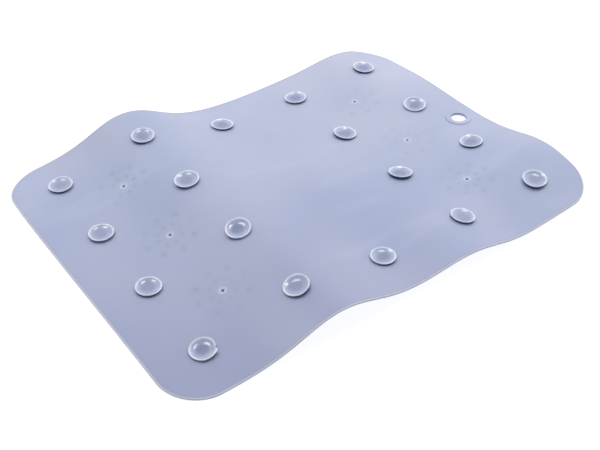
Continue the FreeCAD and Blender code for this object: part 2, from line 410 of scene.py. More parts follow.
def lathe(name: str, profile: Profile, segments: int) -> bpy.types.Object:
    """A closed round shape turned from a profile.

    Args:
        name: Name of the object.
        profile: Points from the lower end of the axis to its upper end, both off the axis.
        segments: How many flats the shape has all round.

    Returns:
        The object, with its own coordinates kept as the attribute local.
    """
    shape = FlatMesh()
    turns = [TURN * segment / segments for segment in range(segments)]
    loops = []
    for radius, height in profile:
        loops.append(shape.add([(radius * math.cos(t), radius * math.sin(t), height) for t in turns]))
    for lower, upper in zip(loops, loops[1:]):
        shape.bridge(lower, upper)
    shape.close(loops[0], (0, 0, profile[0][1]))
    shape.close(loops[-1], (0, 0, profile[-1][1]))
    mesh = bpy.data.meshes.new(name)
    mesh.from_pydata(shape.places, [], shape.faces)
    kept = mesh.attributes.new("local", "FLOAT_VECTOR", "POINT")
    kept.data.foreach_set("vector", np.array(shape.places, np.float32).ravel())
    return finished(name, mesh)


@dataclass(frozen=True)
class Value:
    """An output socket that sums, products and the like can be written with."""

    bench: "Bench"
    socket: bpy.types.NodeSocket

    def maths(self, operation: str, *others: Union["Value", Number]) -> "Value":
        """A Math node with this value first."""
        return self.bench.maths(operation, self, *others)

    def __add__(self, other: Union["Value", Number]) -> "Value":
        """This value plus another."""
        return self.maths("ADD", other)

    __radd__ = __add__

    def __sub__(self, other: Union["Value", Number]) -> "Value":
        """This value less another."""
        return self.maths("SUBTRACT", other)

    def __rsub__(self, other: Number) -> "Value":
        """A number less this value."""
        return self.bench.maths("SUBTRACT", other, self)

    def __mul__(self, other: Union["Value", Number]) -> "Value":
        """This value times another."""
        return self.maths("MULTIPLY", other)

    __rmul__ = __mul__

    def __truediv__(self, other: Union["Value", Number]) -> "Value":
        """This value divided by another."""
        return self.maths("DIVIDE", other)

    def __abs__(self) -> "Value":
        """The value without its sign."""
        return self.maths("ABSOLUTE")

    def hypot(self, other: "Value") -> "Value":
        """The length of a way with this part and another one square to it."""
        return (self * self + other * other).maths("SQRT")

    def fade(self, start: float, end: float) -> "Value":
        """A smooth step.

        Args:
            start: The value at which it is 0.
            end: The value at which it is 1, above or below the start.

        Returns:
            The step, from 0 to 1.
        """
        sockets = {"Value": self, "From Min": start, "From Max": end, "To Min": 0.0, "To Max": 1.0}
        settings = {"interpolation_type": "SMOOTHSTEP"}
        return self.bench.make("ShaderNodeMapRange", "Result", settings, sockets)


@dataclass
class Bench:
    """Puts nodes into one tree and links them."""

    tree: bpy.types.NodeTree

    def make(
        self,
        kind: str,
        output: Union[str, int] = 0,
        settings: dict[str, Any] | None = None,
        sockets: dict[Union[str, int], Any] | None = None,
    ) -> Value:
        """Adds one node.

        Args:
            kind: Blender's name of the node type.
            output: The output that is wanted.
            settings: The node's own settings, set before its sockets.
            sockets: Values or links for its input sockets.

        Returns:
            The wanted output.
        """
        node = self.tree.nodes.new(kind)
        for name, setting in (settings or {}).items():
            setattr(node, name, setting)
        for name, given in (sockets or {}).items():
            socket = node.inputs[name]
            if isinstance(given, Value):
                self.tree.links.new(given.socket, socket)
            elif isinstance(given, tuple) and len(given) == 3 and socket.type == "RGBA":
                socket.default_value = (*given, 1.0)
            else:
                socket.default_value = given
        return Value(self, node.outputs[output])

    def maths(self, operation: str, *terms: Union[Value, Number]) -> Value:
        """A Math node of the given operation."""
        return self.make("ShaderNodeMath", 0, {"operation": operation}, dict(enumerate(terms)))

    def blend(self, share: Value, first: Union[Value, Colour], second: Union[Value, Colour]) -> Value:
        """A colour between two, by the share of the second."""
        settings = {"data_type": "RGBA", "clamp_factor": True}
        return self.make("ShaderNodeMix", 2, settings, {0: share, 6: first, 7: second})

    def shade(self, colour: Value, factor: Value) -> Value:
        """A colour made lighter or darker by a factor."""
        settings = {"operation": "SCALE"}
        return self.make("ShaderNodeVectorMath", 0, settings, {"Vector": colour, "Scale": factor})

    def noise(self, place: Value, scale: float, detail: float = 2.0, output: str = "Fac") -> Value:
        """Soft noise in space, from 0 to 1, with its scale in waves a metre."""
        sockets = {"Vector": place, "Scale": scale, "Detail": detail}
        return self.make("ShaderNodeTexNoise", output, None, sockets)

    def uneven(self, place: Value, scale: float, detail: float, level: float, depth: float) -> Value:
        """A value that wanders about its level, by half its depth each way."""
        return level - depth / 2 + depth * self.noise(place, scale, detail)

    def split(self, vector: Value) -> tuple[Value, Value, Value]:
        """The three parts of a vector."""
        node = self.make("ShaderNodeSeparateXYZ", 0, None, {0: vector}).socket.node
        return tuple(Value(self, socket) for socket in node.outputs)

    def attribute(self, name: str) -> Value:
        """A vector attribute of the piece's own mesh, in a material."""
        return self.make("ShaderNodeAttribute", "Vector", {"attribute_name": name})

    def object_place(self) -> Value:
        """The place on the piece, which is its place in the frame."""
        return self.make("ShaderNodeTexCoord", "Object")


def new_material(name: str) -> tuple[bpy.types.Material, Bench, bpy.types.Node]:
    """Makes an empty material.

    Args:
        name: Name of the material.

    Returns:
        The material, the bench for its nodes and its output node.
    """
    material = bpy.data.materials.new(name)
    material.use_nodes = True
    material.node_tree.nodes.clear()
    output = material.node_tree.nodes.new("ShaderNodeOutputMaterial")
    return material, Bench(material.node_tree), output


@dataclass(frozen=True)
class SoftVinyl:
    """What the mat's surfaces have in common: cloudy, blue to lilac, with a soft gloss.

    A Fade gives where a soft step starts and where it is full.
    """

    blue: Colour = tint(170, 181, 211)
    lilac: Colour = tint(182, 188, 214)
    milk: Colour = tint(204, 210, 232)
    cloud_scale: float = 9.0
    cloud_detail: float = 2.0
    cloud_step: Fade = (0.36, 0.64)
    patch_scale: float = 36.0
    patch_detail: float = 3.0
    patch_depth: float = 0.12
    streak_scale: float = 22.0
    streak_stretch: Triple = (0.35, 1.6, 1.0)
    streak_step: Fade = (0.56, 0.72)
    streak_share: float = 0.22
    grain_scale: float = 900.0
    grain_detail: float = 3.0
    bump_strength: float = 0.12
    bump_distance: float = 0.0002
    roughness: float = 0.38
    dull_scale: float = 30.0
    dull_detail: float = 3.0
    dull_depth: float = 0.12
    ior: float = 1.5
    glow: float = 0.22
    glow_colour: Colour = tint(176, 184, 212)

    def patchy(self, bench: Bench, colour: Value, place: Value) -> Value:
        """A colour that is a little lighter or darker from patch to patch."""
        patches = bench.uneven(place, self.patch_scale, self.patch_detail, 1.0, self.patch_depth)
        return bench.shade(colour, patches)

    def cloudy(self, bench: Bench, place: Value) -> Value:
        """The vinyl's body colour, which drifts between blue and lilac, with faint milky streaks.

        Args:
            bench: The bench of the material.
            place: Where the clouds are read.

        Returns:
            The colour.
        """
        drift = bench.noise(place, self.cloud_scale, self.cloud_detail).fade(*self.cloud_step)
        settings = {"operation": "MULTIPLY"}
        sockets = {0: place, 1: self.streak_stretch}
        stretched = bench.make("ShaderNodeVectorMath", 0, settings, sockets)
        streaks = bench.noise(stretched, self.streak_scale, self.cloud_detail).fade(*self.streak_step)
        colour = self.patchy(bench, bench.blend(drift, self.lilac, self.blue), place)
        return bench.blend(streaks * self.streak_share, colour, self.milk)

    def finish(self, bench: Bench, output: bpy.types.Node, colour: Value, place: Value) -> None:
        """Joins a colour to the vinyl's gloss, its grain and the light that comes through it.

        Args:
            bench: The bench of the material.
            output: The material's output node.
            colour: The colour over the surface.
            place: Where the gloss and the grain are read.
        """
        grain = bench.noise(place, self.grain_scale, self.grain_detail)
        sockets = {"Height": grain, "Strength": self.bump_strength, "Distance": self.bump_distance}
        relief = bench.make("ShaderNodeBump", "Normal", None, sockets)
        dull = bench.uneven(place, self.dull_scale, self.dull_detail, self.roughness, self.dull_depth)
        sockets = {"Base Color": colour, "Roughness": dull, "IOR": self.ior, "Normal": relief}
        skin = bench.make("ShaderNodeBsdfPrincipled", 0, None, sockets)
        through = bench.make("ShaderNodeBsdfTranslucent", 0, None, {"Color": self.glow_colour})
        both = bench.make("ShaderNodeMixShader", 0, None, {0: self.glow, 1: skin, 2: through})
        bench.tree.links.new(both.socket, output.inputs["Surface"])


@dataclass(frozen=True)
class SheetVinyl(SoftVinyl):
    """The sheet: the nubs below show through it faintly as painted shade, with a painted sheen towards
    its far end, painted shade towards its near corner and under each cup's lip, a painted bright edge
    with a painted shade line inside it, and gate marks that stand out, their dark nibs carrying a
    painted shadow.
    """

    plan: FlatPlan = FlatPlan()
    shadow: Colour = tint(152, 166, 198)
    nub_blur: float = 0.0018
    nub_least: float = 0.2
    nub_spread: float = 0.5
    faint_scale: float = 45.0
    faint_detail: float = 1.0
    faint_step: Fade = (0.3, 0.7)
    away_along: float = 0.65
    away_across: float = 0.75
    # Painted sheen towards the sheet's far end.
    pale: Colour = tint(220, 223, 236)
    sheen_share: float = 0.30
    sheen_step: Fade = (-0.04, 0.20)
    # Painted shade towards the sheet's near corner.
    near_shade: Colour = tint(136, 142, 182)
    near_shade_share: float = 0.36
    near_shade_step: Fade = (-0.02, -0.22)
    halo: Colour = tint(220, 223, 240)
    halo_share: float = 0.6
    halo_step: Fade = (0.0042, 0.0024)
    # The gate's dark nib, spread wider as its painted shadow.
    nib: Colour = tint(84, 80, 96)
    nib_shadow_step: Fade = (0.00168, 0.00072)
    lip_shade: Colour = tint(88, 89, 124)
    lip_shade_share: float = 0.95
    shade_inner_step: Fade = (0.0058, 0.0064)
    shade_outer_step: Fade = (0.0098, 0.0090)
    # Painted shade: a faint dark line just inside the edge.
    edge_shade_line: Colour = tint(156, 157, 182)
    shade_line_share: float = 0.28
    shade_line_inner_step: Fade = (0.0032, 0.00208)
    shade_line_outer_step: Fade = (0.0, 0.0016)
    # Painted light: the rounded edge made bright.
    edge: Colour = tint(216, 217, 230)
    edge_light_share: float = 0.85
    edge_light_step: Fade = (0.0016, 0.00048)

    @staticmethod
    def nearest(place: Value, pitch: float, count: int) -> Value:
        """The nearest of some evenly spaced lines.

        Args:
            place: The place across the lines.
            pitch: Their spacing.
            count: How many there are, laid evenly about the middle.

        Returns:
            The line, in pitches from the middle.
        """
        last = (count - 1) / 2
        offset = last % 1
        line = (place / pitch - offset).maths("ROUND")
        return line.maths("MINIMUM", last - offset).maths("MAXIMUM", -last - offset) + offset

    def from_flower(self, along: Value, across: Value) -> tuple[Value, Value]:
        """The way from the nearest flower's middle.

        Args:
            along: Place along the flat sheet.
            across: Place across it.

        Returns:
            The way's part along, away from the mat's middle, and its part across.
        """
        row = self.nearest(across, self.plan.pitch_across, self.plan.flower_rows)
        return abs(along) - self.plan.flower_along, across - row * self.plan.pitch_across

    def from_cup(self, along: Value, across: Value) -> Value:
        """Distance from the nearest cup's middle, far off where the grid has no cup.

        Args:
            along: Place along the flat sheet.
            across: Place across it.

        Returns:
            The distance.
        """
        plan = self.plan
        column = self.nearest(along, plan.pitch_along, plan.cup_columns)
        row = self.nearest(across, plan.pitch_across, plan.cup_rows)
        middle_column = abs(column).maths("LESS_THAN", 0.5)
        inner_row = abs(row).maths("LESS_THAN", (plan.cup_rows - 1) / 2)
        reach = (along - column * plan.pitch_along).hypot(across - row * plan.pitch_across)
        return reach + middle_column * inner_row

    def from_outline(self, along: Value, across: Value) -> Value:
        """Distance from the sheet's outline.

        Args:
            along: Place along the flat sheet.
            across: Place across it.

        Returns:
            The distance, along the sheet's face.
        """
        radius = self.plan.corner_radius
        off_along = (abs(along) - (self.plan.length / 2 - radius)).maths("MAXIMUM", 0.0)
        off_across = (abs(across) - (self.plan.width / 2 - radius)).maths("MAXIMUM", 0.0)
        return radius - off_along.hypot(off_across)

    def dot(self, ring: float, radius: float, reach: Value, side: Value) -> Value:
        """How much of a nub shows through.

        Args:
            ring: Radius of the ring that the nub is in.
            radius: The nub's own radius.
            reach: Distance from the flower's middle.
            side: Distance from the line between that middle and the nub.

        Returns:
            From 0 to 1.
        """
        return (reach - ring).hypot(side).fade(radius + self.nub_blur, radius - self.nub_blur)

    def shade_nubs_through(self, bench: Bench, colour: Value, place: Value, way: tuple[Value, Value]) -> Value:
        """Paints the shade of the nubs that show through, here more and there less.

        Args:
            bench: The bench of the material.
            colour: The colour so far.
            place: Where their strength is read.
            way: The way from the nearest flower's middle.

        Returns:
            The colour with the painted nub shade.
        """
        plan = self.plan
        reach = way[0].hypot(way[1])
        sector = way[1].maths("ARCTAN2", way[0]) * (plan.nub_count / TURN)
        side = (sector - sector.maths("ROUND")) * reach * (TURN / plan.nub_count)
        inner = self.dot(plan.inner_ring_radius, plan.inner_nub_radius, reach, side)
        outer = self.dot(plan.outer_ring_radius, plan.outer_nub_radius, reach, side)
        faint = bench.noise(place, self.faint_scale, self.faint_detail).fade(*self.faint_step)
        share = inner.maths("MAXIMUM", outer) * (self.nub_least + self.nub_spread * faint)
        return bench.blend(share, colour, self.shadow)

    def paint_sheen_and_shade(self, bench: Bench, colour: Value, along: Value, across: Value) -> Value:
        """Paints a sheen that makes the sheet paler towards its far end, and shade that makes it deeper
        towards its near corner.

        Args:
            bench: The bench of the material.
            colour: The colour so far.
            along: Place along the flat sheet.
            across: Place across it.

        Returns:
            The colour with its painted sheen and shade.
        """
        away = along * self.away_along + across * self.away_across
        colour = bench.blend(away.fade(*self.sheen_step) * self.sheen_share, colour, self.pale)
        return bench.blend(away.fade(*self.near_shade_step) * self.near_shade_share, colour, self.near_shade)

    def mark_gate(self, bench: Bench, colour: Value, reach: Value) -> Value:
        """The dark nib of a gate mark with its painted shadow, in its pale halo, by the distance from
        its middle.
        """
        colour = bench.blend(reach.fade(*self.halo_step) * self.halo_share, colour, self.halo)
        return bench.blend(reach.fade(*self.nib_shadow_step), colour, self.nib)

    def shade_lip(self, bench: Bench, colour: Value, reach: Value) -> Value:
        """The dark ring under a cup's lip, by the distance from the cup's middle."""
        ring = reach.fade(*self.shade_outer_step) * reach.fade(*self.shade_inner_step)
        return bench.blend(ring * self.lip_shade_share, colour, self.lip_shade)

    def paint_edge_light(self, bench: Bench, colour: Value, margin: Value) -> Value:
        """Painted light that makes the rounded edge bright, with a faint painted shade line inside it.

        Args:
            bench: The bench of the material.
            colour: The colour so far.
            margin: Distance from the outline.

        Returns:
            The colour with the painted edge light and shade line.
        """
        line = margin.fade(*self.shade_line_inner_step) * margin.fade(*self.shade_line_outer_step)
        colour = bench.blend(line * self.shade_line_share, colour, self.edge_shade_line)
        return bench.blend(margin.fade(*self.edge_light_step) * self.edge_light_share, colour, self.edge)

    def material(self) -> bpy.types.Material:
        """Builds the sheet's material.

        Returns:
            The material.
        """
        material, bench, output = new_material("sheet_vinyl")
        place = bench.object_place()
        along, across, _ = bench.split(bench.attribute("flat"))
        way = self.from_flower(along, across)
        colour = self.shade_nubs_through(bench, self.cloudy(bench, place), place, way)
        colour = self.paint_sheen_and_shade(bench, colour, along, across)
        colour = self.mark_gate(bench, colour, way[0].hypot(way[1]))
        colour = self.shade_lip(bench, colour, self.from_cup(along, across))
        colour = self.paint_edge_light(bench, colour, self.from_outline(along, across))
        self.finish(bench, output, colour, place)
        return material


@dataclass(frozen=True)
class CupSizes:
    """Section of a suction cup over the sheet's upper face, in metres."""

    radius: float = 0.010
    height: float = 0.0026
    root: float = 0.0008
    neck_radius: float = 0.0070
    foot: float = 0.0003
    waist: float = 0.0002
    bell_reach: float = 0.0012
    bell_drop: float = 0.0005
    bell_steps: int = 8
    edge_low: float = 0.0016
    edge_high: float = 0.0022
    edge_round: float = 0.0002
    crest_steps: int = 5
    brim_radius: float = 0.0091
    floor: float = 0.0007
    floor_radius: float = 0.0026
    floor_dip: float = 0.00005
    bowl_power: float = 2.6
    bowl_steps: int = 11


@dataclass(frozen=True, kw_only=True)
class CupVinyl(SoftVinyl):
    """The suction cups: a bright lip of painted highlight, a greyer bowl with painted shade towards its
    floor and painted light up its wall, and a dark neck of painted shade under the lip.

    The steps of the lip start from the brim, those of the neck from the lip's lower edge, from
    the neck's radius and from the bell.
    """

    sizes: CupSizes
    # Painted shade and light: the bowl darker at its floor, lighter up its wall.
    bowl: Colour = tint(128, 140, 176)
    wall: Colour = tint(186, 195, 228)
    # Painted highlight on the lip.
    lip: Colour = tint(236, 243, 255)
    lip_highlight_step: Fade = (-0.0009, -0.0003)
    # Painted shade on the neck under the lip.
    neck: Colour = tint(80, 81, 114)
    neck_shade_top_step: Fade = (0.0002, -0.0001)
    neck_shade_side_step: Fade = (-0.0006, -0.0001)
    neck_shade_bell_step: Fade = (0.0004, 0.0002)
    patch_scale: float = 120.0
    patch_detail: float = 2.0
    patch_depth: float = 0.16
    roughness: float = 0.2
    dull_scale: float = 120.0
    dull_detail: float = 2.0
    dull_depth: float = 0.1
    ior: float = 1.8
    glow: float = 0.25
    glow_colour: Colour = tint(190, 198, 228)

    def material(self) -> bpy.types.Material:
        """Builds the cups' material.

        Returns:
            The material.
        """
        material, bench, output = new_material("cup_vinyl")
        sizes = self.sizes
        place = bench.object_place()
        side_x, side_y, height = bench.split(bench.attribute("local"))
        reach = side_x.hypot(side_y)
        # Painted shade: the bowl darker at its floor, lighter up its wall.
        colour = bench.blend(reach.fade(sizes.floor_radius, sizes.brim_radius), self.bowl, self.wall)
        # Painted highlight on the lip.
        colour = bench.blend((reach - sizes.brim_radius).fade(*self.lip_highlight_step), colour, self.lip)
        # Painted shade on the neck: below the lip's edge, outside the neck and under the bell.
        slope = (sizes.edge_low - sizes.foot) / (sizes.radius - sizes.neck_radius)
        bell = (reach - sizes.neck_radius) * slope + sizes.foot
        below_lip = (height - sizes.edge_low).fade(*self.neck_shade_top_step)
        off_axis = (reach - sizes.neck_radius).fade(*self.neck_shade_side_step)
        below_bell = (height - bell).fade(*self.neck_shade_bell_step)
        colour = bench.blend(below_lip * off_axis * below_bell, colour, self.neck)
        self.finish(bench, output, self.patchy(bench, colour, place), place)
        return material


@dataclass(frozen=True)
class NubVinyl(SoftVinyl):
    """The nubs under the sheet: the sheet's colour, a shade paler on their tops."""

    top: Colour = tint(196, 200, 224)
    top_share: float = 0.7
    top_step: Fade = (0.2, 1.0)
    dull_scale: float = 200.0
    dull_detail: float = 2.0

    def material(self) -> bpy.types.Material:
        """Builds the nubs' material.

        Returns:
            The material.
        """
        material, bench, output = new_material("nub_vinyl")
        place = bench.object_place()
        height = bench.split(bench.attribute("local"))[2]
        share = height.fade(*self.top_step) * self.top_share
        colour = bench.blend(share, self.cloudy(bench, place), self.top)
        self.finish(bench, output, colour, place)
        return material


@dataclass
class Sheet:
    """The moulded sheet with its rounded edge, its hanging hole and the six gate marks."""

    plan: FlatPlan
    waves: Waves
    step: float = 0.0025
    corner_cells: int = 13
    edge_round: float = 0.0005
    edge_steps: int = 3
    hole_radius: float = 0.007
    collar_radius: float = 0.0115
    collar_height: float = 0.0008
    collar_round: float = 0.0004
    wall_round: float = 0.0003
    hole_patch: float = 0.015
    gate_radius: float = 0.0024
    gate_rim: float = 0.00312
    gate_depth: float = 0.0003
    nib_radius: float = 0.0005
    nib_height: float = 0.0008
    nib_round: float = 0.0002
    nib_tip: float = 0.00003
    gate_patch: float = 0.0075
    patch_loops: int = 3

    def lines(self, length: float) -> np.ndarray:
        """Grid lines over the sheet, even between the corners and even in them.

        Args:
            length: The sheet's length that way.

        Returns:
            The lines' places from the middle, without the rounded edge.
        """
        half = length / 2 - self.edge_round
        inner = length / 2 - self.plan.corner_radius
        middle = np.linspace(-inner, inner, math.ceil(2 * inner / self.step) + 1)
        zone = np.linspace(inner, half, self.corner_cells + 1)[1:]
        return np.concatenate([-zone[::-1], middle, zone])

    def rounded(self, along: np.ndarray, across: np.ndarray) -> tuple[np.ndarray, np.ndarray]:
        """Moves a square grid's corners into the sheet's round ones.

        Args:
            along: Places of the grid along the flat sheet.
            across: Places of the grid across it.

        Returns:
            The same places, with those in the corner squares drawn in.
        """
        radius = self.plan.corner_radius - self.edge_round
        inner_along = self.plan.length / 2 - self.plan.corner_radius
        inner_across = self.plan.width / 2 - self.plan.corner_radius
        share_along = np.maximum(np.abs(along) - inner_along, 0) / radius
        share_across = np.maximum(np.abs(across) - inner_across, 0) / radius
        pulled_along = share_along * np.sqrt(1 - share_across**2 / 2)
        pulled_across = share_across * np.sqrt(1 - share_along**2 / 2)
        new_along = np.minimum(np.abs(along), inner_along) + pulled_along * radius
        new_across = np.minimum(np.abs(across), inner_across) + pulled_across * radius
        return np.sign(along) * new_along, np.sign(across) * new_across

    def window(self, place: Spot, half: float) -> Window:
        """The cells of the grid that make way for a feature.

        Args:
            place: The feature's middle.
            half: Half of the window's side.

        Returns:
            The window's first and last grid lines along, then across.
        """
        found = []
        for length, middle in zip((self.plan.length, self.plan.width), place):
            lines = self.lines(length)
            found.append(int(np.argmin(np.abs(lines - middle + half))))
            found.append(int(np.argmin(np.abs(lines - middle - half))))
        return tuple(found)

    @staticmethod
    def loop(window: Window) -> list[Crossing]:
        """The crossings of grid lines round a window.

        Args:
            window: The window.

        Returns:
            The crossings, anticlockwise from the lowest corner.
        """
        left, right, low, high = window
        crossings = [(i, low) for i in range(left, right)]
        crossings += [(right, j) for j in range(low, high)]
        crossings += [(i, high) for i in range(right, left, -1)]
        crossings += [(left, j) for j in range(high, low, -1)]
        return crossings

    def rim(self, crossings: dict[Crossing, int], window: Window) -> list[int]:
        """The numbers of the places round a window."""
        return [crossings[key] for key in self.loop(window)]

    def grid(self, shape: FlatMesh, face: Face, windows: list[Window]) -> dict[Crossing, int]:
        """Lays one broad face of the sheet, apart from its windows.

        Args:
            shape: The mesh that the face is laid in.
            face: Which face it is.
            windows: The cells that are left out.

        Returns:
            The number of each crossing's place.
        """
        lines = self.lines(self.plan.length), self.lines(self.plan.width)
        along, across = np.meshgrid(*lines, indexing="ij")
        spots_along, spots_across = self.rounded(along, across)
        out = 0.0 if face is Face.UPPER else -self.plan.thickness
        taken = np.zeros(along.shape, bool)
        cut = np.zeros((along.shape[0] - 1, along.shape[1] - 1), bool)
        for left, right, low, high in windows:
            taken[left + 1 : right, low + 1 : high] = True
            cut[left:right, low:high] = True
        kept = [(int(i), int(j)) for i, j in np.argwhere(~taken)]
        spots = [(float(spots_along[key]), float(spots_across[key]), out) for key in kept]
        crossings = dict(zip(kept, shape.add(spots)))
        for i, j in np.argwhere(~cut):
            corners = [(i, j), (i + 1, j), (i + 1, j + 1), (i, j + 1)]
            shape.faces.append(tuple(crossings[corner] for corner in corners[:: face.value]))
        return crossings

    @staticmethod
    def ring(shape: FlatMesh, place: Spot, radius: float, out: float, cells: int) -> list[int]:
        """A ring of places that starts in the direction of a window's lowest corner.

        Args:
            shape: The mesh that is added to.
            place: The ring's middle.
            radius: Its radius.
            out: Its height over the upper face.
            cells: How many places it has.

        Returns:
            The numbers of its places.
        """
        turns = [TURN * (cell / cells - LOWEST_CORNER) for cell in range(cells)]
        spots = [(place[0] + radius * math.cos(t), place[1] + radius * math.sin(t), out) for t in turns]
        return shape.add(spots)

    def funnel(self, shape: FlatMesh, rim: list[int], place: Spot, radius: float) -> list[int]:
        """Leads a square window's rim over to a round ring on the same face.

        Args:
            shape: The mesh that is added to.
            rim: The places round the window.
            place: The ring's middle.
            radius: The ring's radius.

        Returns:
            The ring's places.
        """
        out = shape.places[rim[0]][2]
        last = rim
        for loop in range(1, self.patch_loops + 1):
            ring = self.ring(shape, place, radius, out, len(rim))
            share = loop / self.patch_loops
            for start, number in zip(rim, ring):
                spot = [s + (e - s) * share for s, e in zip(shape.places[start], shape.places[number])]
                shape.places[number] = tuple(spot)
            shape.bridge(last, ring)
            last = ring
        return last

    def follow(self, shape: FlatMesh, loop: list[int], place: Spot, profile: Profile) -> list[int]:
        """Continues a ring along a profile.

        Args:
            shape: The mesh that is added to.
            loop: The ring's places.
            place: The ring's middle.
            profile: Radius and height of each ring that follows.

        Returns:
            The last ring's places.
        """
        for radius, out in profile:
            ring = self.ring(shape, place, radius, out, len(loop))
            shape.bridge(loop, ring)
            loop = ring
        return loop

    def hole_profile(self) -> Profile:
        """Section of the ring round the hanging hole.

        Returns:
            The points from its foot on the upper face through the hole to the lower face.
        """
        soft = self.wall_round
        top = self.collar_height
        bottom = -self.plan.thickness
        brow = self.collar_round
        foot = arc((self.collar_radius + soft, soft), soft, 270, 180)
        shoulder = arc((self.collar_radius - brow, top - brow), brow, 0, 90)
        brink = arc((self.hole_radius + soft, top - soft), soft, 90, 180)
        below = arc((self.hole_radius + soft, bottom + soft), soft, 180, 270)
        return foot[1:] + shoulder + brink + below

    def gate_profile(self) -> Profile:
        """Section of a gate mark: a shallow dish with the broken nib in its middle.

        Returns:
            The points from the dish's soft rim to the nib's tip.
        """
        dish = self.gate_radius
        nib = self.nib_radius
        floor = -self.gate_depth
        tip = floor + self.nib_height
        rim = [(dish * 1.12, -floor / 6), (dish, floor / 10)]
        bowl = [(dish * 0.85, floor * 0.6), (dish * 0.6, floor)]
        root = [(nib * 1.7, floor), (nib * 1.1, floor * 0.6)]
        return rim + bowl + root + [(nib, tip - self.nib_round), (nib * 0.7, tip)]

    def edge(self, shape: FlatMesh, upper: list[int], lower: list[int]) -> None:
        """Closes the sheet all round with its rounded edge.

        Args:
            shape: The mesh that is added to.
            upper: The places round the upper face.
            lower: The places round the lower face.
        """
        inner = np.array([self.plan.length, self.plan.width]) / 2 - self.plan.corner_radius
        spots = np.array([shape.places[number][:2] for number in upper])
        ways = spots - np.clip(spots, -inner, inner)
        ways /= np.linalg.norm(ways, axis=1)[:, None]
        soft = self.edge_round
        top = arc((0.0, -soft), soft, 90, 0, self.edge_steps)[1:]
        bottom = arc((0.0, soft - self.plan.thickness), soft, 0, -90, self.edge_steps)[:-1]
        last = upper
        for reach, out in top + bottom:
            moved = spots + ways * reach
            ring = shape.add([(float(along), float(across), out) for along, across in moved])
            shape.bridge(last, ring)
            last = ring
        shape.bridge(last, lower)

    def build(self) -> bpy.types.Object:
        """Builds the sheet.

        Returns:
            The sheet as one closed mesh, bent in its waves.
        """
        shape = FlatMesh()
        hole_place = self.plan.hole_place()
        hole = self.window(hole_place, self.hole_patch)
        gates = {place: self.window(place, self.gate_patch) for place in self.plan.flower_places()}
        upper = self.grid(shape, Face.UPPER, [hole, *gates.values()])
        lower = self.grid(shape, Face.LOWER, [hole])
        last_along = len(self.lines(self.plan.length)) - 1
        last_across = len(self.lines(self.plan.width)) - 1
        border = (0, last_along, 0, last_across)
        self.edge(shape, self.rim(upper, border), self.rim(lower, border))
        foot_radius = self.collar_radius + self.wall_round
        foot = self.funnel(shape, self.rim(upper, hole), hole_place, foot_radius)
        wall = self.follow(shape, foot, hole_place, self.hole_profile()[:-1])
        mouth_radius = self.hole_radius + self.wall_round
        mouth = self.funnel(shape, self.rim(lower, hole), hole_place, mouth_radius)
        shape.bridge(wall, mouth)
        tip_height = self.nib_height - self.gate_depth + self.nib_tip
        for place, window in gates.items():
            rim = self.funnel(shape, self.rim(upper, window), place, self.gate_rim)
            tip = self.follow(shape, rim, place, self.gate_profile())
            shape.close(tip, (*place, tip_height))
        return shape.bent("vinyl_sheet", self.waves)

    def dress(self, sheet: bpy.types.Object) -> None:
        """Gives the sheet its finish."""
        sheet.data.materials.append(SheetVinyl(plan=self.plan).material())


